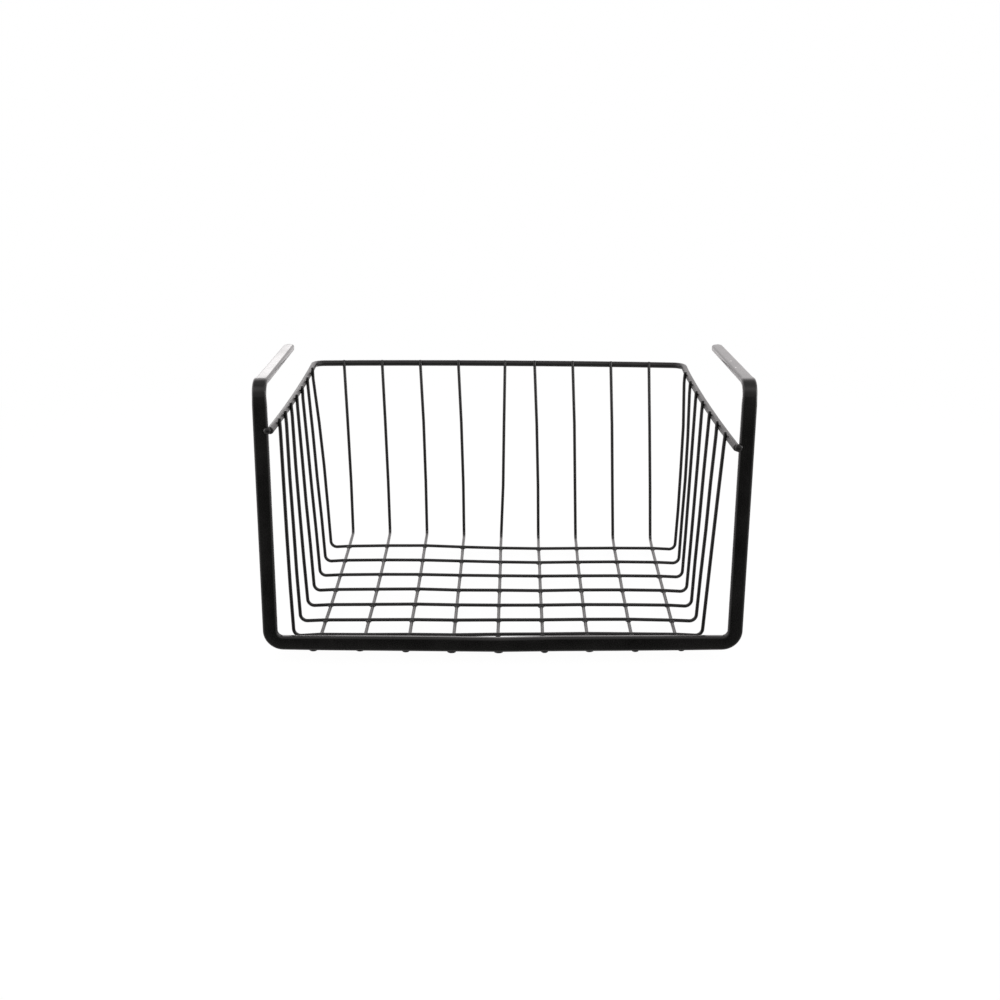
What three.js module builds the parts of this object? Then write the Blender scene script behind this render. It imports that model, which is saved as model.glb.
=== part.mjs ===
// Under-shelf hanging basket: a bent steel hanger hooks over a shelf and carries a wire basket.
// Millimetres, +Z up, the open front towards -Y, and the origin at the bottom centre of the whole basket.
import * as THREE from "three";

// Overall sizes
const FRAME_WIDTH = 300; // over the outer edges of the hanger's uprights
const BASKET_DEPTH = 237; // front face of the hanger to the back of the rim
const HANG_HEIGHT = 174; // underside of the floor to the top of the arms
const ARM_REACH = 117; // front face of the hanger to the ends of its arms
const SHELF_SLOT = 30.6; // top of the back rim to the underside of the arms

// Hanger: one length of flattened rod with rounded edges
const STRIP_WIDTH = 8.7;
const STRIP_THICKNESS = 4;
const STRIP_EDGE_RADIUS = 1.3;
const FULLEST_EDGE = 0.48; // most of the thickness that an edge's radius may take
const FOOT_BEND_INSIDE = 4.9; // inside radius between an upright and the bottom bar
const SHOULDER_BEND_INSIDE = 4.5; // inside radius between an upright and its arm
const ARM_END_RADIUS = 2.8; // rounded corners of an arm's end
const TOE_BEND_INSIDE = 40; // inside radius where the right arm turns a little towards the left one
const TOE_BEND_START = 3; // end of the shoulder bend to that turn
const RIGHT_ARM_TOE_IN = 2.4; // how far the turn brings the right arm's end in

// Rim wire
const RIM_WIRE = 4.2;
const RIM_SPREAD = 1.4; // how much wider each half of the rim is at the back than at the front
const RIM_CORNER_INSIDE = 6; // inside radius of the two back corners
const RIM_BOW_RADIUS = 600; // radius of the slight bend halfway along each side

// Mesh wires
const MESH_WIRE = 2.1;
const CROSS_WIRES = 7; // U-shaped, from rim to rim over the floor
const LONG_WIRES = 9; // L-shaped, from the bottom bar along the floor and up the back
const SIDE_LEAN = 5; // how far a side wall leans out between floor and rim
const BACK_LEAN = 12; // how far the back wall leans out between floor and rim
const CROSS_BEND_INSIDE = 3.8;
const LONG_BEND_INSIDE = 3;
const LONG_WIRE_EDGE = 14.4; // corner of the floor to the first long wire
const CROSS_WIRE_FRONT = 18.9; // middle of the bottom bar to the first cross wire
const CROSS_WIRE_BACK = 25.4; // last cross wire to the back of the floor
const CROSS_GAP_GROWTH = 0.95; // how much wider each gap between cross wires is than the one before it
const TIP_ABOVE_RIM = 1.4; // how far the wires' tips stand above the rim

// Set left by hand welding: how far the basket stands out of true
const LEFT_END_LIFT = 5.6; // left end of the rim above its back
const RIGHT_END_DROP = 4; // right end of the rim below its back
const LEFT_SIDE_SAG = 2.5; // left side of the rim, below a straight line halfway along it
const RIGHT_SIDE_BOW = 2.2; // right side of the rim, inside a straight line halfway along it
const RIM_BACK_SHIFT = -4.5; // middle of the rim's back, sideways
const FLOOR_FRONT_SHIFT = -3.7; // middle of the floor's front edge, sideways
const FLOOR_BACK_SHIFT = -1.4; // middle of the floor's back edge, sideways
const BACK_WIRE_SKEW = -4; // tops of the back wires against their feet, sideways
const MIDDLE_WIRE_SKEW = 6; // the middle back wire's top against its neighbours, sideways

const WELD_GAP = 0.3; // clearance kept between two pieces that are welded together

// Fineness of the solids
const WIRE_SIDES = 8;
const BEND_STEP = THREE.MathUtils.degToRad(15);
const EDGE_STEPS = 2; // facets on each rounded edge of the strip
const END_STEPS = 4; // facets on each rounded corner of an arm's end

// Heights, from the floor up
const longWireZ = MESH_WIRE / 2;
const crossWireZ = longWireZ + MESH_WIRE + WELD_GAP;
const barZ = MESH_WIRE + WELD_GAP + STRIP_WIDTH / 2;
const armZ = HANG_HEIGHT - STRIP_THICKNESS / 2;
const rimZ = HANG_HEIGHT - STRIP_THICKNESS - SHELF_SLOT - RIM_WIRE / 2;

// Places from front to back
const frontFaceY = -BASKET_DEPTH / 2;
const stripY = frontFaceY + STRIP_THICKNESS / 2;
const armEndY = frontFaceY + ARM_REACH;
const rimBackY = BASKET_DEPTH / 2 - RIM_WIRE / 2;
const rimMiddleY = (stripY + rimBackY) / 2;
const wireToRim = RIM_WIRE / 2 + WELD_GAP + MESH_WIRE / 2;
const backWireY = rimBackY - wireToRim;
const floorBackY = backWireY - BACK_LEAN;

// Places from side to side
const uprightX = FRAME_WIDTH / 2 - STRIP_WIDTH / 2;
const uprightInnerX = FRAME_WIDTH / 2 - STRIP_WIDTH;
const rimFrontHalf = uprightInnerX - WELD_GAP - RIM_WIRE / 2;
const rimBackHalf = rimFrontHalf + RIM_SPREAD;
const floorHalf = rimFrontHalf - wireToRim - SIDE_LEAN;
const longWirePitch = (2 * (floorHalf - LONG_WIRE_EDGE)) / (LONG_WIRES - 1);

// Section of a wire, flat on each side, so that its flats lie one diameter apart.
function wireSection(diameter) {
  const cornerRadius = diameter / 2 / Math.cos(Math.PI / WIRE_SIDES);
  const section = [];
  for (let side = 0; side < WIRE_SIDES; side++) {
    const angle = ((side + 0.5) * 2 * Math.PI) / WIRE_SIDES;
    section.push(new THREE.Vector2(cornerRadius * Math.cos(angle), cornerRadius * Math.sin(angle)));
  }
  return section;
}

// Section of the hanger's strip: a rectangle with rounded edges.
function stripSection() {
  const radius = Math.min(STRIP_EDGE_RADIUS, FULLEST_EDGE * STRIP_THICKNESS);
  const centreX = STRIP_WIDTH / 2 - radius;
  const centreY = STRIP_THICKNESS / 2 - radius;
  const corners = [
    [centreX, centreY],
    [-centreX, centreY],
    [-centreX, -centreY],
    [centreX, -centreY],
  ];
  const section = [];
  corners.forEach(([x, y], quarter) => {
    for (let step = 0; step <= EDGE_STEPS; step++) {
      const angle = ((quarter + step / EDGE_STEPS) * Math.PI) / 2;
      section.push(new THREE.Vector2(x + radius * Math.cos(angle), y + radius * Math.sin(angle)));
    }
  });
  return section;
}

// A place along a rod: its middle, its direction, the sideways direction of its section and the share of
// the section's full width that is left there.
function station(point, along, sideways, widthShare = 1) {
  return { point: point.clone(), along: along.clone(), sideways: sideways.clone(), widthShare };
}

// Stations along a rod that runs straight from corner to corner and bends round each inner corner.
function bentRod(corners, bendRadius, sidewaysAtStart) {
  const legs = corners.slice(1).map((corner, i) => corner.clone().sub(corners[i]).normalize());
  const lean = sidewaysAtStart.dot(legs[0]);
  const sideways = sidewaysAtStart.clone().addScaledVector(legs[0], -lean).normalize();
  const stations = [station(corners[0], legs[0], sideways)];
  for (let i = 1; i < legs.length; i++) {
    const turn = legs[i - 1].angleTo(legs[i]);
    const axis = legs[i - 1].clone().cross(legs[i]).normalize();
    const radius = bendRadius[i - 1];
    const begin = corners[i].clone().addScaledVector(legs[i - 1], -radius * Math.tan(turn / 2));
    const inward = axis.clone().cross(legs[i - 1]);
    const centre = begin.clone().addScaledVector(inward, radius);
    const steps = Math.max(1, Math.ceil(turn / BEND_STEP));
    for (let step = 0; step <= steps; step++) {
      const angle = (turn * step) / steps;
      const point = begin.clone().sub(centre).applyAxisAngle(axis, angle).add(centre);
      const along = legs[i - 1].clone().applyAxisAngle(axis, angle);
      stations.push(station(point, along, sideways.clone().applyAxisAngle(axis, angle)));
    }
    sideways.applyAxisAngle(axis, turn);
  }
  stations.push(station(corners.at(-1), legs.at(-1), sideways));
  return stations;
}

// Rounds the two corners of a strip's end: the end station becomes a run of narrower ones.
function roundedEnd(end, inward) {
  const stations = [];
  for (let step = 0; step <= END_STEPS; step++) {
    const angle = (step / END_STEPS) * (Math.PI / 2);
    const setback = ARM_END_RADIUS * (1 - Math.cos(angle));
    const trim = ARM_END_RADIUS * (1 - Math.sin(angle));
    const point = end.point.clone().addScaledVector(inward, setback);
    stations.push(station(point, end.along, end.sideways, 1 - (2 * trim) / STRIP_WIDTH));
  }
  return stations;
}

// Skins a section along the stations and closes both ends.
function skin(stations, section) {
  const positions = [];
  for (const { point, along, sideways, widthShare } of stations) {
    const upward = along.clone().cross(sideways);
    for (const { x, y } of section) {
      const corner = point.clone().addScaledVector(sideways, x * widthShare).addScaledVector(upward, y);
      positions.push(corner.x, corner.y, corner.z);
    }
  }
  const sides = section.length;
  const triangles = [];
  for (let ring = 0; ring < stations.length - 1; ring++) {
    for (let side = 0; side < sides; side++) {
      const here = ring * sides + side;
      const beside = ring * sides + ((side + 1) % sides);
      triangles.push(here, beside, here + sides);
      triangles.push(beside, beside + sides, here + sides);
    }
  }
  const last = (stations.length - 1) * sides;
  for (let side = 1; side < sides - 1; side++) {
    triangles.push(0, side + 1, side);
    triangles.push(last, last + side, last + side + 1);
  }
  const geometry = new THREE.BufferGeometry();
  geometry.setAttribute("position", new THREE.Float32BufferAttribute(positions, 3));
  geometry.setIndex(triangles);
  geometry.computeVertexNormals();
  return geometry;
}

// Black powder coat over steel
function coated(name, geometry) {
  const material = new THREE.MeshStandardMaterial({ color: 0x161617, roughness: 0.42, metalness: 0.1 });
  const mesh = new THREE.Mesh(geometry, material);
  mesh.name = name;
  return mesh;
}

// Arm, upright, bottom bar, upright and arm in one piece, its wide face forward and that of its arms up
function hangerFrame() {
  const shoulder = SHOULDER_BEND_INSIDE + STRIP_THICKNESS / 2;
  const foot = FOOT_BEND_INSIDE + STRIP_WIDTH / 2;
  const toe = TOE_BEND_INSIDE + STRIP_WIDTH / 2;
  const corners = [
    new THREE.Vector3(-uprightX, armEndY, armZ),
    new THREE.Vector3(-uprightX, stripY, armZ),
    new THREE.Vector3(-uprightX, stripY, barZ),
    new THREE.Vector3(uprightX, stripY, barZ),
    new THREE.Vector3(uprightX, stripY, armZ),
    new THREE.Vector3(uprightX, stripY + shoulder + TOE_BEND_START, armZ),
    new THREE.Vector3(uprightX - RIGHT_ARM_TOE_IN, armEndY, armZ),
  ];
  const run = bentRod(corners, [shoulder, foot, foot, shoulder, toe], new THREE.Vector3(1, 0, 0));
  const first = run[0];
  const last = run.at(-1);
  const leftEnd = roundedEnd(first, first.along);
  const rightEnd = roundedEnd(last, last.along.clone().negate()).reverse();
  return coated("hanger_frame", skin([...leftEnd, ...run.slice(1, -1), ...rightEnd], stripSection()));
}

// Middle of the rim's left (-1) or right (1) side at a distance back, as x and z
function rimSide(side, y) {
  const share = (y - stripY) / (rimBackY - stripY);
  const halfway = 1 - Math.abs(2 * share - 1);
  const endLift = side < 0 ? LEFT_END_LIFT : -RIGHT_END_DROP;
  const sag = side < 0 ? LEFT_SIDE_SAG : 0;
  const bow = side < 0 ? 0 : RIGHT_SIDE_BOW;
  const straightX = THREE.MathUtils.lerp(side * rimFrontHalf, RIM_BACK_SHIFT + side * rimBackHalf, share);
  return { x: straightX - side * bow * halfway, z: rimZ + endLift * (1 - share) - sag * halfway };
}

// Rim round the back and both sides, its cut ends beside the uprights' inner edges
function rimWire() {
  const corners = [];
  for (const side of [-1, 1]) {
    const half = [frontFaceY, rimMiddleY, rimBackY].map((y) => {
      const { x, z } = rimSide(side, y);
      return new THREE.Vector3(x, y, z);
    });
    corners.push(...(side < 0 ? half : half.reverse()));
  }
  const corner = RIM_CORNER_INSIDE + RIM_WIRE / 2;
  const bends = [RIM_BOW_RADIUS, corner, corner, RIM_BOW_RADIUS];
  const run = bentRod(corners, bends, new THREE.Vector3(0, 0, 1));
  return coated("rim_wire", skin(run, wireSection(RIM_WIRE)));
}

// Distances back of the cross wires, from the front one to the last
function crossWirePlaces() {
  const first = stripY + CROSS_WIRE_FRONT;
  const gaps = CROSS_WIRES - 1;
  const meanGap = (floorBackY - CROSS_WIRE_BACK - first) / gaps;
  const places = [first];
  for (let gap = 0; gap < gaps; gap++) {
    places.push(places[gap] + meanGap + CROSS_GAP_GROWTH * (gap - (gaps - 1) / 2));
  }
  return places;
}

// Middle of the floor at a distance back, sideways
function floorMiddle(y) {
  const share = (y - stripY) / (floorBackY - stripY);
  return THREE.MathUtils.lerp(FLOOR_FRONT_SHIFT, FLOOR_BACK_SHIFT, share);
}

// One U-shaped wire: down inside the left rim, over the floor and up inside the right rim
function crossWire(number, y) {
  const corners = [];
  for (const side of [-1, 1]) {
    const foot = new THREE.Vector3(floorMiddle(y) + side * floorHalf, y, crossWireZ);
    const rim = rimSide(side, y);
    const weld = new THREE.Vector3(rim.x - side * wireToRim, y, rim.z);
    const tipShare = (rim.z + RIM_WIRE / 2 + TIP_ABOVE_RIM - foot.z) / (rim.z - foot.z);
    const tip = foot.clone().lerp(weld, tipShare);
    corners.push(...(side < 0 ? [tip, foot] : [foot, tip]));
  }
  const bend = CROSS_BEND_INSIDE + MESH_WIRE / 2;
  const run = bentRod(corners, [bend, bend], new THREE.Vector3(0, 1, 0));
  return coated(`cross_wire_${number}`, skin(run, wireSection(MESH_WIRE)));
}

// One L-shaped wire: from under the bottom bar along the floor, then up inside the back of the rim
function longWire(number) {
  const place = number - (LONG_WIRES + 1) / 2;
  const across = place * longWirePitch;
  const skew = BACK_WIRE_SKEW + (place === 0 ? MIDDLE_WIRE_SKEW : 0);
  const front = new THREE.Vector3(floorMiddle(stripY) + across, stripY, longWireZ);
  const foot = new THREE.Vector3(floorMiddle(floorBackY) + across, floorBackY, longWireZ);
  const weld = new THREE.Vector3(foot.x + skew, backWireY, rimZ);
  const tipShare = (rimZ + RIM_WIRE / 2 + TIP_ABOVE_RIM - foot.z) / (rimZ - foot.z);
  const tip = foot.clone().lerp(weld, tipShare);
  const bend = LONG_BEND_INSIDE + MESH_WIRE / 2;
  const run = bentRod([front, foot, tip], [bend], new THREE.Vector3(1, 0, 0));
  return coated(`long_wire_${number}`, skin(run, wireSection(MESH_WIRE)));
}

const basket = new THREE.Group();
basket.add(hangerFrame(), rimWire());
crossWirePlaces().forEach((y, i) => basket.add(crossWire(i + 1, y)));
for (let number = 1; number <= LONG_WIRES; number++) {
  basket.add(longWire(number));
}

export default basket;
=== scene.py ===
import math
import random
import bmesh
import bpy
from mathutils import Matrix, Vector


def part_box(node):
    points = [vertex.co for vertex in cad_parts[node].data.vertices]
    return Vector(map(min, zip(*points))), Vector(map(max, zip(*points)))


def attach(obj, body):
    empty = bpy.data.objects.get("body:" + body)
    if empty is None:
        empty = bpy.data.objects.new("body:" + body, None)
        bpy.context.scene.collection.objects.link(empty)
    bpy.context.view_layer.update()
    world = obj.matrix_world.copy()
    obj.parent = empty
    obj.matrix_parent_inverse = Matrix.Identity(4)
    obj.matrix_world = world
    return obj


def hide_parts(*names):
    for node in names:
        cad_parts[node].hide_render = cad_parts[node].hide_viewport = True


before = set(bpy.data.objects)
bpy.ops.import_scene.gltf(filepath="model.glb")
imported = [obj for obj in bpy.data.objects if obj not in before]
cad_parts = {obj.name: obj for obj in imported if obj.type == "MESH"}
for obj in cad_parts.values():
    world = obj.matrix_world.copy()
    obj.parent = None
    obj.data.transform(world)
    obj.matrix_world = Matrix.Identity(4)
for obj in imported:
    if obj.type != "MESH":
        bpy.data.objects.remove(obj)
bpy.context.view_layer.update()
print("frame loaded:", len(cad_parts), "CAD nodes")

# Sizes are in metres, in the frame of the CAD part: +X right, +Y to the back wall, +Z up.
handSet = random.Random(11)  # small unevenness of work set by hand, the same on every run


# Bending wire and strip

bending = {
    "degreesPerStep": 7.5,
    "leastSteps": 3,
    "mergeGap": 1e-6,
    "smoothAngle": 42,
}


def deselectAll():
    bpy.ops.object.select_all(action="DESELECT")


def startWire(name, point, along, diameter, sides):
    deselectAll()
    facing = along.to_track_quat("Z", "Y").to_euler()
    bpy.ops.mesh.primitive_circle_add(
        vertices=sides, radius=diameter / 2, fill_type="NGON", location=point, rotation=facing
    )
    bpy.ops.object.transform_apply(location=True, rotation=True, scale=True)
    piece = bpy.context.object
    piece.name = name
    bpy.ops.object.mode_set(mode="EDIT")
    return piece


def pushEnd(step):
    bpy.ops.mesh.extrude_region_move(TRANSFORM_OT_translate={"value": step})


def turnEnd(corner, before, after, radius):
    turn = before.angle(after)
    axis = before.cross(after).normalized()
    setback = radius * math.tan(turn / 2)
    centre = corner - before * setback + axis.cross(before) * radius
    steps = max(bending["leastSteps"], round(math.degrees(turn) / bending["degreesPerStep"]))
    bpy.ops.mesh.spin(steps=steps, angle=-turn, center=centre, axis=axis)  # it turns against its axis
    return corner + after * setback


def bendAlong(corners, radii, passing, growth=None):
    # the selected end runs from corner to corner, through the points that each leg passes on its way,
    # and is resized at the points of some of the legs
    legs = [(b - a).normalized() for a, b in zip(corners, corners[1:])]
    end = corners[0]
    for number, leg in enumerate(legs):
        last = number == len(legs) - 1
        stop = corners[number + 1]
        if not last:
            stop = stop - leg * radii[number] * math.tan(leg.angle(legs[number + 1]) / 2)
        for place, point in enumerate([*passing.get(number, []), stop]):
            pushEnd(point - end)
            end = point
            if growth and number in growth:
                bpy.ops.transform.resize(value=growth[number][place], center_override=point)
        if not last:
            end = turnEnd(corners[number + 1], leg, legs[number + 1], radii[number])


def roundCutEnds(piece, width, segments):
    # the two cut ends are the only faces with more than four sides
    bpy.ops.mesh.select_mode(type="EDGE")
    bpy.ops.mesh.select_all(action="DESELECT")
    shape = bmesh.from_edit_mesh(piece.data)
    for face in shape.faces:
        if len(face.verts) > 4:
            for edge in face.edges:
                edge.select_set(True)
    bmesh.update_edit_mesh(piece.data)
    bpy.ops.mesh.bevel(offset=width, segments=segments, affect="EDGES")


def finishMesh(piece):
    bpy.ops.mesh.select_all(action="SELECT")
    bpy.ops.mesh.remove_doubles(threshold=bending["mergeGap"])
    bpy.ops.mesh.normals_make_consistent(inside=False)
    bpy.ops.object.mode_set(mode="OBJECT")
    bpy.ops.object.shade_smooth_by_angle(angle=math.radians(bending["smoothAngle"]))


def putOnBasket(piece, material, slot, *nodes):
    piece.data.materials.append(material)
    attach(piece, "root")
    if nodes:
        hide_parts(*nodes)


def between(low, high, share):
    return low + (high - low) * share


def bulge(share):
    # nothing at both ends of a stretch, and all of it halfway
    return 4 * share * (1 - share)


# Nodes, for the coats and the studio

mixSockets = {"FLOAT": (2, 3, 0), "RGBA": (6, 7, 2)}  # first and second input, and output


def plug(tree, value, socket):
    # a socket takes a fixed value, or what another node gives
    if isinstance(value, bpy.types.NodeSocket):
        tree.links.new(value, socket)
    else:
        socket.default_value = value


def remap(tree, value, low, high, newLow, newHigh):
    node = tree.nodes.new("ShaderNodeMapRange")
    plug(tree, value, node.inputs["Value"])
    limits = {"From Min": low, "From Max": high, "To Min": newLow, "To Max": newHigh}
    for name, limit in limits.items():
        plug(tree, limit, node.inputs[name])
    return node.outputs["Result"]


def combine(tree, operation, first, second):
    node = tree.nodes.new("ShaderNodeMath")
    node.operation = operation
    plug(tree, first, node.inputs[0])
    plug(tree, second, node.inputs[1])
    return node.outputs[0]


def mix(tree, kind, share, first, second):
    node = tree.nodes.new("ShaderNodeMix")
    node.data_type = kind
    firstSocket, secondSocket, mixed = mixSockets[kind]
    plug(tree, share, node.inputs["Factor"])
    plug(tree, first, node.inputs[firstSocket])
    plug(tree, second, node.inputs[secondSocket])
    return node.outputs[mixed]


# Black powder coat, baked on over the welded steel

coat = {
    "thickness": 0.0001,  # what it adds on each side
    "deep": (0.0031, 0.0031, 0.0028, 1),
    "pale": (0.0050, 0.0049, 0.0045, 1),
    "speck": (0.6, 0.58, 0.57, 1),
    "speckCore": 0.6,  # share of a speck's radius that is fully pale
    "specular": 0.42,
    "cloudScale": 55,
    "cloudDetail": 4,
    "paleEdges": (0.35, 0.65),  # where a cloud is all deep, and all pale
    "roughEdges": (0.3, 0.7),  # and where it is glossiest and roughest
    "roughSpread": (-0.03, 0.04),  # from the roughness that a coat is given
    "peelScale": 240,  # orange peel, about 4 mm
    "grainScale": 1500,
    "reliefDetail": 2,
    "peelShare": 0.8,
    "reliefDepth": 0.00005,
}


def coatMaterial(name, roughness, relief, specks=()):
    material = bpy.data.materials.new(name)
    material.use_nodes = True
    tree = material.node_tree
    place = tree.nodes.new("ShaderNodeTexCoord").outputs["Object"]

    def noise(scale, detail):
        node = tree.nodes.new("ShaderNodeTexNoise")
        plug(tree, scale, node.inputs["Scale"])
        plug(tree, detail, node.inputs["Detail"])
        plug(tree, place, node.inputs["Vector"])
        return node.outputs["Fac"]

    def distanceTo(spot):
        node = tree.nodes.new("ShaderNodeVectorMath")
        node.operation = "DISTANCE"
        plug(tree, place, node.inputs[0])
        plug(tree, spot, node.inputs[1])
        return node.outputs["Value"]

    # the coat lies a little thicker and paler in patches, and has a few pale specks
    cloud = noise(coat["cloudScale"], coat["cloudDetail"])
    colour = mix(tree, "RGBA", remap(tree, cloud, *coat["paleEdges"], 0, 1), coat["deep"], coat["pale"])
    for spot, radius in specks:
        speck = remap(tree, distanceTo(spot), radius * coat["speckCore"], radius, 1, 0)
        colour = mix(tree, "RGBA", speck, colour, coat["speck"])
    roughLimits = [roughness + spread for spread in coat["roughSpread"]]

    # orange peel with a finer grain over it
    peel = noise(coat["peelScale"], coat["reliefDetail"])
    grain = noise(coat["grainScale"], coat["reliefDetail"])
    bump = tree.nodes.new("ShaderNodeBump")
    plug(tree, relief, bump.inputs["Strength"])
    plug(tree, coat["reliefDepth"], bump.inputs["Distance"])
    plug(tree, mix(tree, "FLOAT", coat["peelShare"], grain, peel), bump.inputs["Height"])

    shader = tree.nodes["Principled BSDF"]
    plug(tree, colour, shader.inputs["Base Color"])
    plug(tree, remap(tree, cloud, *coat["roughEdges"], *roughLimits), shader.inputs["Roughness"])
    plug(tree, coat["specular"], shader.inputs["Specular IOR Level"])
    plug(tree, bump.outputs["Normal"], shader.inputs["Normal"])
    return material


rightArmSpecks = (((0.1432, -0.0580, 0.1741), 0.0008), ((0.1431, -0.0783, 0.1741), 0.0007))
hangerCoat = coatMaterial("hangerCoat", roughness=0.22, relief=0.06, specks=rightArmSpecks)
rimCoat = coatMaterial("rimCoat", roughness=0.4, relief=0.06)
meshCoat = coatMaterial("meshCoat", roughness=0.27, relief=0.06)
print("coats mixed")


# Hanger: a flattened rod, bent into arm, upright, bottom bar, upright and arm

hanger = {
    "width": 0.0087,  # in the CAD part
    # the strip's real width: on an arm from its tip to its shoulder, down an upright, and along the bar
    "armWidths": {-1: (0.0071, 0.0074, 0.0082), 1: (0.0071, 0.0075, 0.0084)},
    "uprightWidths": {-1: (0.0086, 0.0087, 0.0088, 0.0088), 1: (0.0088, 0.0088, 0.0089, 0.0089)},
    "barWidths": (0.0089, 0.0094, 0.0095, 0.0095, 0.0092, 0.0096, 0.0096, 0.0094, 0.0090),
    "thickness": 0.0039,
    "edgeRadius": 0.0013,
    "edgeSegments": 6,
    "footInside": 0.0036,
    "shoulderInside": 0.006,
    "endRadius": 0.0028,
    "endSteps": 6,
    "endEdge": 0.0006,
    "endEdgeSegments": 3,
    "toeInside": 0.04,
    "toeIn": 0.003,  # how far the right arm's end stands in
    "leftDrop": 0.0001,  # the left arm's end hangs a little
    "leftLonger": 0.002,
    "topShift": {-1: 0, 1: 0.0003},
    "footShift": {-1: -0.001, 1: -0.0013},  # the uprights lean: their feet stand to the left
    "armInset": {-1: 0.0005, 1: 0.0004},  # how far an arm stands inside the middle of its upright
    "narrowed": 0.012,  # how far behind the front an arm has its own width
    "barLift": -0.0002,  # bar's middle from its place in the CAD part
    "barDrops": (0.0002, 0.0001, 0.0001, 0.0003, 0.00075, 0.0001, 0, 0, 0.0001),  # how the bar sags
    "barBow": 0.0019,  # how far the bar's middle stands forward
    "barRise": 0.00015,  # the bar's right end above its left one
    "uprightShares": (0.075, 0.16, 0.38, 0.68),  # where an upright has its widths, from the top down
}

hangerLow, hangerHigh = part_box("hanger_frame")
stripY = hangerLow.y + hanger["thickness"] / 2
uprightX = hangerHigh.x - hanger["width"] / 2
uprightInner = hangerHigh.x - hanger["width"]
armZ = hangerHigh.z - hanger["thickness"] / 2
barZ = hangerLow.z + hanger["width"] / 2 + hanger["barLift"]
armEndY = hangerHigh.y
topX = {side: side * uprightX + shift for side, shift in hanger["topShift"].items()}
footX = {side: side * uprightX + shift for side, shift in hanger["footShift"].items()}


def barShare(x):
    return (x - footX[-1]) / (footX[1] - footX[-1])


def alongBar(values, share):
    # what the row of values, at even steps from the left foot to the right one, gives at a place
    last = len(values) - 1
    left = min(int(share * last), last - 1)
    return between(values[left], values[left + 1], share * last - left)


def barAt(x):
    # middle of the bottom bar at a distance across: it sags and stands a little forward
    share = barShare(x)
    forward = hanger["barBow"] * bulge(share)
    rise = hanger["barRise"] * share - alongBar(hanger["barDrops"], share)
    return Vector((x, stripY - forward, barZ + rise))


def barUnderside(x):
    return barAt(x).z - alongBar(hanger["barWidths"], barShare(x)) / 2


def resizing(widths, axis):
    # how to resize the strip from each width to the next, along x or z
    steps = []
    for width, nextWidth in zip(widths, widths[1:]):
        step = [1, 1, 1]
        step["xyz".index(axis)] = nextWidth / width
        steps.append(step)
    return steps


def sizeEnd(share, middle):
    # the strip's end, made wider or narrower in its own width
    bpy.ops.transform.resize(value=(share, 1, 1), center_override=middle)


def endProfile(width):
    # setback and share of the full width, from the narrow tip of an arm to where it is full
    for step in range(hanger["endSteps"] + 1):
        angle = math.pi / 2 * step / hanger["endSteps"]
        setback = hanger["endRadius"] * (1 - math.cos(angle))
        trim = hanger["endRadius"] * (1 - math.sin(angle))
        yield setback, 1 - 2 * trim / width


def startStrip(middle, width):
    # the strip's rounded section, upright across the left arm
    deselectAll()
    bpy.ops.mesh.primitive_plane_add(size=1, location=middle, rotation=(math.pi / 2, 0, 0))
    piece = bpy.context.object
    piece.name = "hanger_strip"
    coated = 2 * coat["thickness"]
    piece.scale = (width + coated, hanger["thickness"] + coated, 1)
    bpy.ops.object.transform_apply(location=True, rotation=True, scale=True)
    bpy.ops.object.mode_set(mode="EDIT")
    bpy.ops.mesh.bevel(offset=hanger["edgeRadius"], segments=hanger["edgeSegments"], affect="VERTICES")
    return piece


def shapeEnd(profile, run, middle):
    # the strip's end follows an arm's rounded tip, step by step
    for (setback, share), (nextSetback, nextShare) in zip(profile, profile[1:]):
        pushEnd(run * (setback - nextSetback))
        sizeEnd(nextShare / share, middle)


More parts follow.
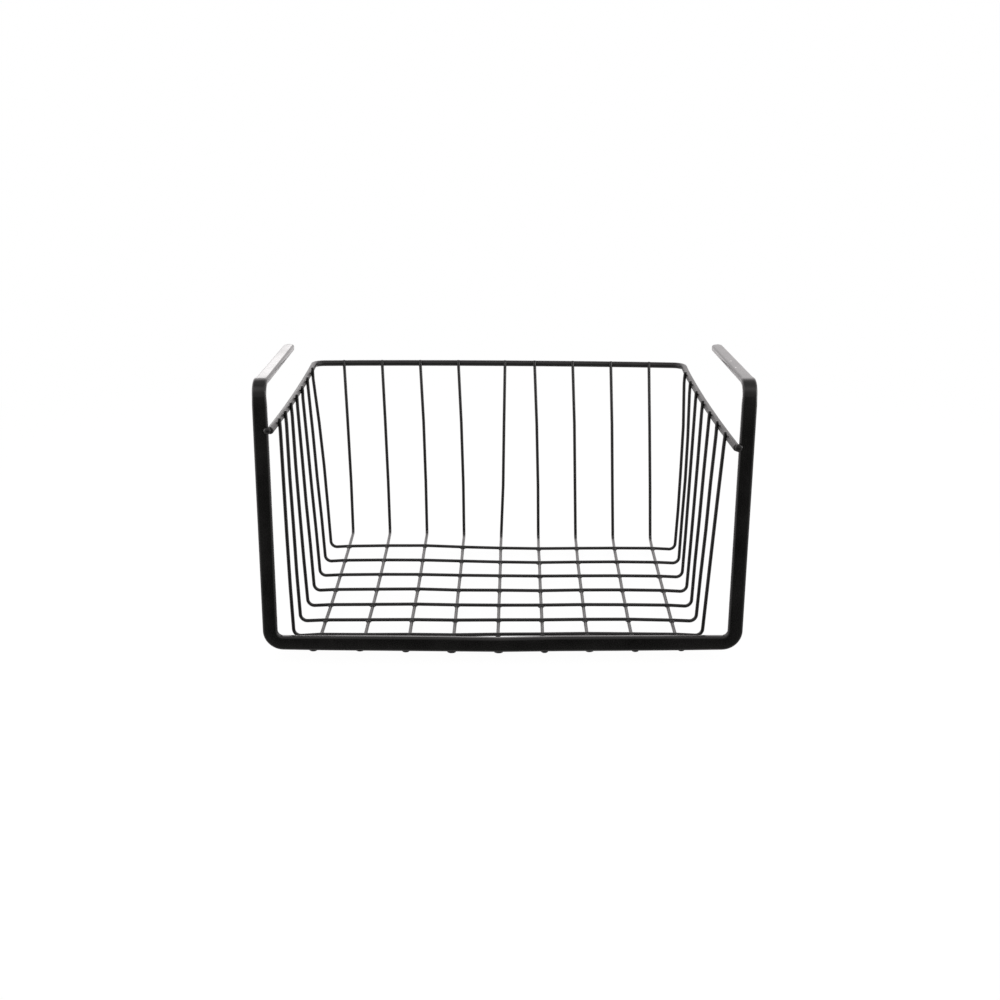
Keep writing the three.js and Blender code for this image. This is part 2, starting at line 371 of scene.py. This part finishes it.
def makeHanger():
    armWidths = hanger["armWidths"]
    uprightWidths = hanger["uprightWidths"]
    barWidths = hanger["barWidths"]
    shoulder = hanger["shoulderInside"] + hanger["thickness"] / 2
    feet = [hanger["footInside"] + width / 2 for width in (barWidths[0], barWidths[-1])]
    toe = hanger["toeInside"] + hanger["width"] / 2
    armX = {side: topX[side] - side * hanger["armInset"][side] for side in (-1, 1)}
    leftEnd = Vector((armX[-1], armEndY + hanger["leftLonger"], armZ - hanger["leftDrop"]))
    rightEnd = Vector((armX[1] - hanger["toeIn"], armEndY, armZ))
    piece = startStrip(leftEnd, armWidths[-1][0])
    leftTip = list(endProfile(armWidths[-1][0]))
    sizeEnd(leftTip[0][1], leftEnd)
    shapeEnd(leftTip, Vector((0, 1, 0)), leftEnd)
    tops = {side: Vector((topX[side], stripY, armZ)) for side in (-1, 1)}
    corners = [
        leftEnd - Vector((0, hanger["endRadius"], 0)),
        tops[-1],
        barAt(footX[-1]),
        barAt(footX[1]),
        tops[1],
        Vector((armX[1], stripY + hanger["narrowed"], armZ)),
        rightEnd,
    ]
    armRun = (corners[-1] - corners[-2]).normalized()
    corners[-1] = rightEnd - armRun * hanger["endRadius"]
    barSteps = len(barWidths) - 1
    downwards = hanger["uprightShares"]
    # legs 0 to 5: left arm, left upright, bar, right upright, right shoulder and right arm
    passing = {
        0: [Vector((armX[-1], stripY + hanger["narrowed"], armZ))],
        1: [between(tops[-1], corners[2], share) for share in downwards],
        2: [barAt(between(footX[-1], footX[1], step / barSteps)) for step in range(1, barSteps)],
        3: [between(tops[1], corners[3], share) for share in downwards[::-1]],
    }
    growth = {
        0: resizing(armWidths[-1], "x"),
        1: resizing((armWidths[-1][-1], *uprightWidths[-1], barWidths[0]), "x"),
        2: resizing(barWidths, "z"),
        3: resizing((barWidths[-1], *uprightWidths[1][::-1], armWidths[1][-1]), "x"),
        4: resizing(armWidths[1][:0:-1], "x"),
        5: resizing(armWidths[1][1::-1], "x"),
    }
    bendAlong(corners, [shoulder, *feet, shoulder, toe], passing, growth)
    rightTip = list(endProfile(armWidths[1][0]))
    shapeEnd(rightTip[::-1], armRun, rightEnd)
    roundCutEnds(piece, hanger["endEdge"], hanger["endEdgeSegments"])
    finishMesh(piece)
    putOnBasket(piece, hangerCoat, "hanger_coat", "hanger_frame")


makeHanger()
print("hanger bent")


# Rim: one thick wire round both sides and the back, its cut ends welded beside the uprights

rim = {
    "wire": 0.0042,
    "sides": 24,
    "cornerInside": 0.006,
    "besideUpright": {-1: 0.0013, 1: 0.0021},  # upright's inner edge to the middle of the rim's side
    "endProud": 0.0003,  # how far the cut ends stand in front of the uprights
    "endRounding": 0.0007,
    "endSegments": 4,
    "leftEndLift": 0.0007,  # left end's height above its place in the CAD part
    "backX": {-1: -0.1448, 1: 0.1357},
    "backLift": {-1: 0.0003, 1: -0.0015},  # the back hangs a little lower on the right
    "backArch": 0.0008,
    "backSteps": 8,
    "backBelowLeftEnd": 0.0056,
    "leftSag": 0.002,
    "rightBow": 0.002,
    "sideSteps": 10,
}

rimLow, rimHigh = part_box("rim_wire")
rimBackY = rimHigh.y - rim["wire"] / 2
leftRimEndZ = rimHigh.z - rim["wire"] / 2
rightRimEndZ = rimLow.z + rim["wire"] / 2
rimBackZ = leftRimEndZ - rim["backBelowLeftEnd"]
rimFront = {
    -1: Vector((-uprightInner + rim["besideUpright"][-1], stripY, leftRimEndZ + rim["leftEndLift"])),
    1: Vector((uprightInner - rim["besideUpright"][1], stripY, rightRimEndZ)),
}
rimBack = {
    side: Vector((rim["backX"][side], rimBackY, rimBackZ + rim["backLift"][side])) for side in (-1, 1)
}


def rimAt(side, y):
    # middle of the rim's left (-1) or right (1) side at a distance back: one sags and one bows in
    share = (y - stripY) / (rimBackY - stripY)
    give = Vector((0, 0, -rim["leftSag"])) if side < 0 else Vector((-rim["rightBow"], 0, 0))
    return between(rimFront[side], rimBack[side], share) + give * bulge(share)


def rimBackAt(x):
    # middle of the rim's back at a distance across: it arches up a little
    share = (x - rimBack[-1].x) / (rimBack[1].x - rimBack[-1].x)
    arch = rim["backArch"] * bulge(share)
    return between(rimBack[-1], rimBack[1], share) + Vector((0, 0, arch))


def rimEnd(side):
    return rimAt(side, hangerLow.y - rim["endProud"])


def makeRim():
    sides = {
        side: [
            rimAt(side, between(stripY, rimBackY, step / rim["sideSteps"]))
            for step in range(1, rim["sideSteps"])
        ]
        for side in (-1, 1)
    }
    arch = [
        rimBackAt(between(rimBack[-1].x, rimBack[1].x, step / rim["backSteps"]))
        for step in range(1, rim["backSteps"])
    ]
    corners = [rimEnd(-1), rimBack[-1], rimBack[1], rimEnd(1)]
    corner = rim["cornerInside"] + rim["wire"] / 2
    diameter = rim["wire"] + 2 * coat["thickness"]
    piece = startWire("rim", corners[0], corners[1] - corners[0], diameter, rim["sides"])
    bendAlong(corners, [corner, corner], {0: sides[-1], 1: arch, 2: sides[1][::-1]})
    roundCutEnds(piece, rim["endRounding"], rim["endSegments"])
    finishMesh(piece)
    putOnBasket(piece, rimCoat, "rim_coat", "rim_wire")


makeRim()
print("rim bent")


# Mesh: long wires along the floor and up the back, cross wires over them from rim to rim

mesh = {
    "wire": 0.0021,
    "sides": 14,
    "crossCount": 7,
    "longCount": 9,
    "weldGap": 0.0003,  # between two wires in the CAD part
    "sunk": 0.0009,  # how deep the floor wires are pressed into each other where they cross
    "tipRounding": 0.0005,
    "tipSegments": 3,
    "crossInside": 0.0036,
    "longInside": 0.003,
    "floorFront": (-0.13405, 0.12665),  # left and right corner of the floor under the bottom bar
    "floorBack": (-0.13175, 0.12895),
    "longFront": (-0.1185, 0.1103),  # first and last long wire under the bar
    "longBack": (-0.1191, 0.1134),  # and at the foot of the back
    "longBow": 0.0007,  # how far the outer ones bow in, halfway back
    # how each long wire stands above its true height, from the left one: at the front and at the back
    "longLift": (
        (-0.0005, -0.0005, -0.0001, -0.0003, 0.0001, 0.0003, 0.0004, 0.0003, -0.0004),
        (0, 0.0008, 0.001, 0.0002, -0.0005, -0.001, -0.0004, -0.0001, -0.0001),
    ),
    "backTops": (-0.1222, 0.1095),  # first and last one where they meet the rim
    "middleTop": 0.0065,  # the middle one's top, to the right of the place between its neighbours
    "backBow": 0.0005,
    "backPoints": ((0.3, 0.9), (0.65, 0.9)),  # places on the way up, and the share of the bow there
    "backLean": 0.012,  # how far in front of their tops the back wires should have their feet
    "backFeet": (0.009, -0.0005),  # how far behind that the feet of the first and the last wire stand
    "backTip": 0.0009,  # tips of the back wires above the rim
    "pressedEnd": 0.005,  # last stretch of a long wire, pressed up against the bar
    # how far each one's end stands aside there, and how far below the bar's edge
    "endAside": (-0.0015, -0.0007, -0.0005, -0.0003, 0.0006, 0.0008, 0.0004, 0.0005, 0.0008),
    "endBelow": (0.0002, -0.0002, 0.0003, 0.0005, 0.0003, 0.0003, 0, 0.0002, -0.0001),
    # a side wire's last stretch: height from the middle of the rim, and distance inside it
    "hook": {
        -1: ((0.0039, 0.0028), (0.0026, 0.0029), (0.0006, 0.0029), (-0.005, 0.0031)),
        1: ((0.0039, 0.0024), (0.0026, 0.0026), (0.0006, 0.0027), (-0.005, 0.0030)),
    },
    # how much further up each one's tip reaches
    "tipLift": {-1: (0.0003, 0, 0.0003, 0, 0, 0.0007, 0.0013), 1: (0, 0, 0, 0, 0, 0, 0)},
    "legLean": {-1: 0, 1: 0.0018},  # how far back a leg's tip stands from its foot
    "dip": 0.0007,  # how far a cross wire hangs lower outside the last long wire
    "waver": 0.00018,  # how unevenly the wires lie, and the share of it in each place
    "waverShares": {"plain": 1, "hook": 0.6, "tip": 1.5, "crossHeight": 0.5, "longHeight": 0.3, "back": 2},
    # how each cross wire stands out of true, from the front one: foot and leg sideways, left and right
    "footAside": {
        -1: (-0.0012, -0.0010, -0.0002, 0, 0, -0.0003, -0.0002),
        1: (-0.0001, -0.0008, -0.0007, -0.0006, -0.0004, 0.0005, 0.0010),
    },
    "legAside": {
        -1: (-0.0004, -0.0004, -0.0004, -0.0002, 0.0001, 0.0001, 0.0011),
        1: (-0.0001, 0, 0, 0.0004, 0.0003, 0.0009, 0.0013),
    },
    "legPoints": ((0.25, 0.5), (0.5, 0.9), (0.75, 0.9)),  # places on the way up, and the share of that
    "crossLift": (0.0009, 0.0002, 0, 0, 0, -0.0001, 0.0001),
    "floorTilt": (-0.0003, 0.001),  # how much lower the floor's right edge hangs: front and back
    "floorSag": 0.0004,
    "floorHalf": 0.13,  # half of the floor's width
}

wireToRim = rim["wire"] / 2 + mesh["weldGap"] + mesh["wire"] / 2
backWireY = rimBackY - wireToRim
floorBackY = backWireY - mesh["backLean"]
longZ = mesh["wire"] / 2 + mesh["weldGap"] + mesh["sunk"]
crossZ = mesh["wire"] * 1.5 + mesh["weldGap"]
coatedWire = mesh["wire"] + 2 * coat["thickness"]


def floorShare(y):
    return (y - stripY) / (floorBackY - stripY)


def floorCorner(side, y):
    edge = 0 if side < 0 else 1
    return between(mesh["floorFront"][edge], mesh["floorBack"][edge], floorShare(y))


def longShare(number):
    return (number - 1) / (mesh["longCount"] - 1)


def longX(number, y):
    # where a long wire lies across the floor at a distance back
    share = floorShare(y)
    front = between(*mesh["longFront"], longShare(number))
    back = between(*mesh["longBack"], longShare(number))
    bow = mesh["longBow"] * (1 - 2 * longShare(number)) * bulge(share)
    return between(front, back, share) + bow


def floorLift(x, y):
    # how high the nearest long wires lie out of true
    last = mesh["longCount"] - 1
    place = (x - longX(1, y)) / (longX(last + 1, y) - longX(1, y)) * last
    left = min(max(int(place), 0), last - 1)
    lifts = [between(front, back, floorShare(y)) for front, back in zip(*mesh["longLift"])]
    return between(lifts[left], lifts[left + 1], min(max(place - left, 0), 1))


def floorDrop(x, y):
    # the floor is a little twisted and hangs through, and its wires lie unevenly
    across = x / mesh["floorHalf"]
    twist = between(*mesh["floorTilt"], floorShare(y)) * across
    return twist + mesh["floorSag"] * (1 - across * across) - floorLift(x, y)


def crossY(number):
    low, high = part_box(f"cross_wire_{number}")
    return (low.y + high.y) / 2


def longPoint(number, y):
    x = longX(number, y)
    return Vector((x, y, longZ - floorDrop(x, y)))


def crossPoint(number, x):
    y = crossY(number)
    return Vector((x, y, crossZ + mesh["crossLift"][number - 1] - floorDrop(x, y)))


def waver(place="plain"):
    return handSet.uniform(-1, 1) * mesh["waver"] * mesh["waverShares"][place]


def legAtRim(side, number):
    # middle of the rim where a cross wire's leg meets it
    return rimAt(side, crossY(number) + mesh["legLean"][side])


def sideLeg(side, number):
    # points of a cross wire's leg from its foot up to its tip, which hooks over against the rim
    y = crossY(number)
    foot = crossPoint(number, floorCorner(side, y) + mesh["footAside"][side][number - 1])
    foot.z -= mesh["dip"]
    rimPlace = legAtRim(side, number)
    rimPlace.z += mesh["tipLift"][side][number - 1]
    hooked = [
        rimPlace + Vector((-side * (inside + waver("hook")), waver("hook"), height + waver("tip")))
        for height, inside in reversed(mesh["hook"][side])
    ]
    aside = mesh["legAside"][side][number - 1]
    bowed = [
        between(foot, hooked[0], share) + Vector((aside * push + waver(), waver(), 0))
        for share, push in mesh["legPoints"]
    ]
    return [foot, *bowed, *hooked]


def makeCrossWire(number):
    left = sideLeg(-1, number)
    right = sideLeg(1, number)
    overFloor = [
        crossPoint(number, longX(long, crossY(number))) + Vector((0, waver(), waver("crossHeight")))
        for long in range(1, mesh["longCount"] + 1)
    ]
    corners = [left[-1], left[0], right[0], right[-1]]
    bend = mesh["crossInside"] + mesh["wire"] / 2
    along = corners[1] - corners[0]
    piece = startWire(f"cross_mesh_wire_{number}", corners[0], along, coatedWire, mesh["sides"])
    bendAlong(corners, [bend, bend], {0: left[-2:0:-1], 1: overFloor, 2: right[1:-1]})
    roundCutEnds(piece, mesh["tipRounding"], mesh["tipSegments"])
    finishMesh(piece)
    putOnBasket(piece, meshCoat, "mesh_coat", f"cross_wire_{number}")


def backTop(number):
    # where a long wire meets the rim's back
    middle = number == (mesh["longCount"] + 1) // 2
    x = between(*mesh["backTops"], longShare(number)) + (mesh["middleTop"] if middle else 0)
    return Vector((x, backWireY, rimBackAt(x).z))


def longFront(number):
    # a long wire's cut end, pressed into the underside of the bottom bar
    x = longX(number, stripY) + mesh["endAside"][number - 1]
    return Vector((x, barAt(x).y, barUnderside(x) - mesh["endBelow"][number - 1]))


def makeLongWire(number):
    front = longFront(number)
    level = longPoint(number, stripY + mesh["pressedEnd"])
    foot = longPoint(number, floorBackY + between(*mesh["backFeet"], longShare(number)))
    top = backTop(number)
    tipZ = top.z + rim["wire"] / 2 + mesh["backTip"]
    tip = between(foot, top, (tipZ - foot.z) / (top.z - foot.z))
    underCross = [
        longPoint(number, crossY(cross)) + Vector((waver(), 0, waver("longHeight")))
        for cross in range(1, mesh["crossCount"] + 1)
    ]
    upBack = [
        between(foot, tip, share) + Vector((mesh["backBow"] * push + waver("back"), waver("back"), 0))
        for share, push in mesh["backPoints"]
    ]
    bend = mesh["longInside"] + mesh["wire"] / 2
    piece = startWire(f"long_mesh_wire_{number}", front, foot - level, coatedWire, mesh["sides"])
    bendAlong([front, foot, tip], [bend], {0: [level, *underCross], 1: upBack})
    roundCutEnds(piece, mesh["tipRounding"], mesh["tipSegments"])
    finishMesh(piece)
    putOnBasket(piece, meshCoat, "mesh_coat", f"long_wire_{number}")


for wireNumber in range(1, mesh["crossCount"] + 1):
    makeCrossWire(wireNumber)
for wireNumber in range(1, mesh["longCount"] + 1):
    makeLongWire(wireNumber)
print("mesh wires bent:", mesh["crossCount"] + mesh["longCount"])


# Welds: small beads where the wires were fused, coated with the rest

weld = {
    "lumps": 0.04,
    "lumpSeed": 4,
    "subdivisions": 3,
    "sizeSpread": 0.14,
    "floor": (0.0022, 0.0026, 0.0011),  # along the wire, across it, and from wire to wire
    "rim": (0.0007, 0.0006, 0.0005),
    "rimHeight": -0.0004,
    "bar": (0.0016, 0.0026, 0.0012),
    "barHeight": 0.0001,  # above the middle of the long wire's end
    "upright": (0.0023, 0.0013, 0.0023),
    "uprightAside": {-1: 0.0016, 1: 0.0011},  # from the end of the rim towards its upright
}


def beadShape():
    # one lumpy bead, a ball pressed by hand
    deselectAll()
    bpy.ops.mesh.primitive_ico_sphere_add(subdivisions=weld["subdivisions"], radius=1, location=(0, 0, 0))
    bead = bpy.context.object
    bpy.ops.object.mode_set(mode="EDIT")
    bpy.ops.transform.vertex_random(offset=weld["lumps"], normal=1, seed=weld["lumpSeed"])
    bpy.ops.object.mode_set(mode="OBJECT")
    return bead


def weldGroup(name, size, places, material, slot):
    bead = beadShape()
    copies = []
    for middle, along, towards in places:
        across = towards.cross(along).normalized()
        towards = along.cross(across).normalized()
        swell = [length * (1 + handSet.uniform(-1, 1) * weld["sizeSpread"]) for length in size]
        directions = (along.normalized(), across, towards)
        columns = [direction * reach for direction, reach in zip(directions, swell)]
        placing = Matrix(columns).transposed().to_4x4()
        placing.translation = middle
        copy = bpy.data.objects.new(name, bead.data.copy())
        bpy.context.collection.objects.link(copy)
        copy.data.transform(placing)
        copies.append(copy)
    bpy.data.objects.remove(bead)
    deselectAll()
    for copy in copies:
        copy.select_set(True)
    bpy.context.view_layer.objects.active = copies[0]
    bpy.ops.object.join()
    piece = bpy.context.object
    piece.name = name
    bpy.ops.object.mode_set(mode="EDIT")
    bpy.ops.mesh.select_all(action="SELECT")
    bpy.ops.mesh.normals_make_consistent(inside=False)
    bpy.ops.object.mode_set(mode="OBJECT")
    bpy.ops.object.shade_smooth()
    putOnBasket(piece, material, slot)


def makeWelds():
    up = Vector((0, 0, 1))
    back = Vector((0, 1, 0))
    right = Vector((1, 0, 0))
    seam = up * (crossZ - longZ) / 2
    crossNumbers = range(1, mesh["crossCount"] + 1)
    longNumbers = range(1, mesh["longCount"] + 1)
    floor = [
        (crossPoint(cross, longX(long, crossY(cross))) - seam, right, up)
        for cross in crossNumbers
        for long in longNumbers
    ]
    weldGroup("floor_welds", weld["floor"], floor, meshCoat, "mesh_coat")
    inward = rim["wire"] / 2 + mesh["weldGap"] / 2
    sides = [
        (legAtRim(side, cross) + up * weld["rimHeight"] - right * side * inward, up, right)
        for side in (-1, 1)
        for cross in crossNumbers
    ]
    backs = [(backTop(long) + back * (wireToRim - inward), up, back) for long in longNumbers]
    weldGroup("rim_welds", weld["rim"], sides + backs, meshCoat, "mesh_coat")
    bar = [(longFront(long) + up * weld["barHeight"], back, up) for long in longNumbers]
    weldGroup("bar_welds", weld["bar"], bar, hangerCoat, "hanger_coat")
    uprights = [
        (rimEnd(side) + right * side * weld["uprightAside"][side], up, right) for side in (-1, 1)
    ]
    weldGroup("upright_welds", weld["upright"], uprights, hangerCoat, "hanger_coat")


makeWelds()
print("welds set")


# Studio: pale floor, white room, four soft lights, and the camera where the photograph was taken

studio = {
    "cameraPlace": (0.00181, -0.91199, 0.34423),
    "cameraDown": 17.07,
    "cameraRoll": 0.067,
    "cameraTurn": 0.292,
    "lens": 49.275,
    "sensorWidth": 36,
    "floorSize": 12,
    "floorBelow": 0.002,  # how far below the frame's zero it lies
    "floorTone": (0.96, 0.96, 0.96, 1),
    "floorRoughness": 0.9,
    "shadowShare": 0.06,
    "shadowReach": (0.3, 0.8),  # distance from the basket where its shadow fades, and where it ends
    "roomGlow": 2.2,  # brightest part of the room
    "roomTint": (1, 0.965, 0.97, 1),
    # share of that in each direction, from straight below to straight above, and from left to right
    "roomHeights": (
        (-1, 0.37), (-0.45, 0.4), (-0.24, 0.66), (0, 0.6), (0.2, 0.65),
        (0.4, 1), (0.62, 1), (0.75, 0.8), (0.85, 0.44), (0.95, 0.17)
    ),
    "roomSides": ((-1, 0.8), (-0.3, 0.95), (0.3, 0.95), (0.9, 0.6)),
    "frontDim": (0.02, 0.5),  # the room in front, where the camera stands: low down, and higher up
    "frontHeights": (-0.18, -0.07),  # directions between which it brightens
    "frontReach": (-0.92, -0.5),  # and between which the front gives way to the rest of the room
    "white": (1, 1, 1, 1),
}

lights = {
    "backCard": {
        "place": (-0.232, 0.25, 0.26),
        "aim": (-0.14, -0.05, 0.174),
        "size": (0.135, 0.08),
        "glow": 2.15,
        "tone": (1, 0.99, 0.985),
    },
    "overheadBox": {
        "place": (0.1, -0.1, 1.5),
        "aim": (0, 0, 0.1),
        "size": (1.2, 1.2),
        "glow": 0.3,
        "tone": (1, 1, 1),
    },
    "leftBox": {
        "place": (-0.5, -0.12, 0.2),
        "aim": (0, -0.12, 0.2),
        "size": (0.25, 0.22),
        "glow": 2.5,
        "tone": (1, 1, 1),
    },
    "rightBox": {
        "place": (0.5, -0.12, 0.2),
        "aim": (0, -0.12, 0.2),
        "size": (0.25, 0.22),
        "glow": 6,
        "tone": (1, 1, 1),
    },
}


def makeCamera():
    lens = bpy.data.cameras.new("photoCamera")
    lens.lens = studio["lens"]
    lens.sensor_width = studio["sensorWidth"]
    camera = bpy.data.objects.new("photoCamera", lens)
    camera.location = studio["cameraPlace"]
    camera.rotation_euler = (
        math.radians(90 - studio["cameraDown"]),
        math.radians(studio["cameraRoll"]),
        math.radians(studio["cameraTurn"]),
    )
    bpy.context.collection.objects.link(camera)
    bpy.context.scene.camera = camera


def softLight(name, place, aim, size, glow, tone):
    # glow is the brightness of the light's own face, so that its power follows its size
    lamp = bpy.data.lights.new(name, "AREA")
    lamp.shape = "RECTANGLE"
    lamp.size, lamp.size_y = size
    lamp.energy = math.pi * size[0] * size[1] * glow
    lamp.color = tone
    light = bpy.data.objects.new(name, lamp)
    light.location = place
    light.rotation_euler = (Vector(aim) - Vector(place)).to_track_quat("-Z", "Y").to_euler()
    light.visible_camera = False
    bpy.context.collection.objects.link(light)


def makeWorld():
    world = bpy.data.worlds.new("whiteStudio")
    world.use_nodes = True
    bpy.context.scene.world = world
    tree = world.node_tree
    towards = tree.nodes.new("ShaderNodeSeparateXYZ")
    plug(tree, tree.nodes.new("ShaderNodeTexCoord").outputs["Generated"], towards.inputs[0])

    def shade(direction, shares):
        # one grey for each share, blended into the next one
        ramp = tree.nodes.new("ShaderNodeValToRGB")
        stops = ramp.color_ramp.elements
        for number, (place, share) in enumerate(shares):
            stop = stops[number] if number < len(stops) else stops.new(1)
            stop.position = (place + 1) / 2
            stop.color = (share, share, share, 1)
        plug(tree, remap(tree, direction, -1, 1, 0, 1), ramp.inputs["Fac"])
        return ramp.outputs["Color"]

    # a white room, a little uneven, and dim where the camera stands
    heights = shade(towards.outputs["Z"], studio["roomHeights"])
    sides = shade(towards.outputs["X"], studio["roomSides"])
    room = remap(tree, combine(tree, "MULTIPLY", heights, sides), 0, 1, 0, studio["roomGlow"])
    front = remap(tree, towards.outputs["Z"], *studio["frontHeights"], *studio["frontDim"])
    behind = remap(tree, towards.outputs["Y"], *studio["frontReach"], 0, 1)
    room = mix(tree, "FLOAT", behind, front, room)
    paths = tree.nodes.new("ShaderNodeLightPath").outputs
    seen = combine(tree, "MAXIMUM", paths["Is Camera Ray"], paths["Is Transmission Ray"])
    backdrop = tree.nodes["Background"]
    plug(tree, mix(tree, "FLOAT", seen, room, 1), backdrop.inputs["Strength"])
    plug(tree, mix(tree, "RGBA", seen, studio["roomTint"], studio["white"]), backdrop.inputs["Color"])


def makeFloor():
    deselectAll()
    bpy.ops.mesh.primitive_plane_add(size=studio["floorSize"], location=(0, 0, -studio["floorBelow"]))
    floor = bpy.context.object
    floor.name = "paleFloor"
    floor.visible_glossy = False  # the gloss sees the room instead
    material = bpy.data.materials.new("paleFloor")
    material.use_nodes = True
    tree = material.node_tree
    shader = tree.nodes["Principled BSDF"]
    plug(tree, studio["floorTone"], shader.inputs["Base Color"])
    plug(tree, studio["floorRoughness"], shader.inputs["Roughness"])
    plug(tree, 0, shader.inputs["Specular IOR Level"])
    glow = tree.nodes.new("ShaderNodeEmission")
    plug(tree, 1, glow.inputs["Strength"])
    # the camera sees plain white, with a share of the shadow near the basket
    away = tree.nodes.new("ShaderNodeVectorMath")
    away.operation = "LENGTH"
    plug(tree, tree.nodes.new("ShaderNodeTexCoord").outputs["Object"], away.inputs[0])
    white = remap(tree, away.outputs["Value"], *studio["shadowReach"], 1 - studio["shadowShare"], 1)
    seen = tree.nodes.new("ShaderNodeLightPath").outputs["Is Camera Ray"]
    blend = tree.nodes.new("ShaderNodeMixShader")
    plug(tree, combine(tree, "MULTIPLY", white, seen), blend.inputs["Fac"])
    plug(tree, shader.outputs["BSDF"], blend.inputs[1])
    plug(tree, glow.outputs["Emission"], blend.inputs[2])
    plug(tree, blend.outputs["Shader"], tree.nodes["Material Output"].inputs["Surface"])
    floor.data.materials.append(material)


makeCamera()
makeWorld()
makeFloor()
for lightName, light in lights.items():
    softLight(lightName, **light)
bpy.context.scene.view_settings.view_transform = "Standard"
print("studio lit")
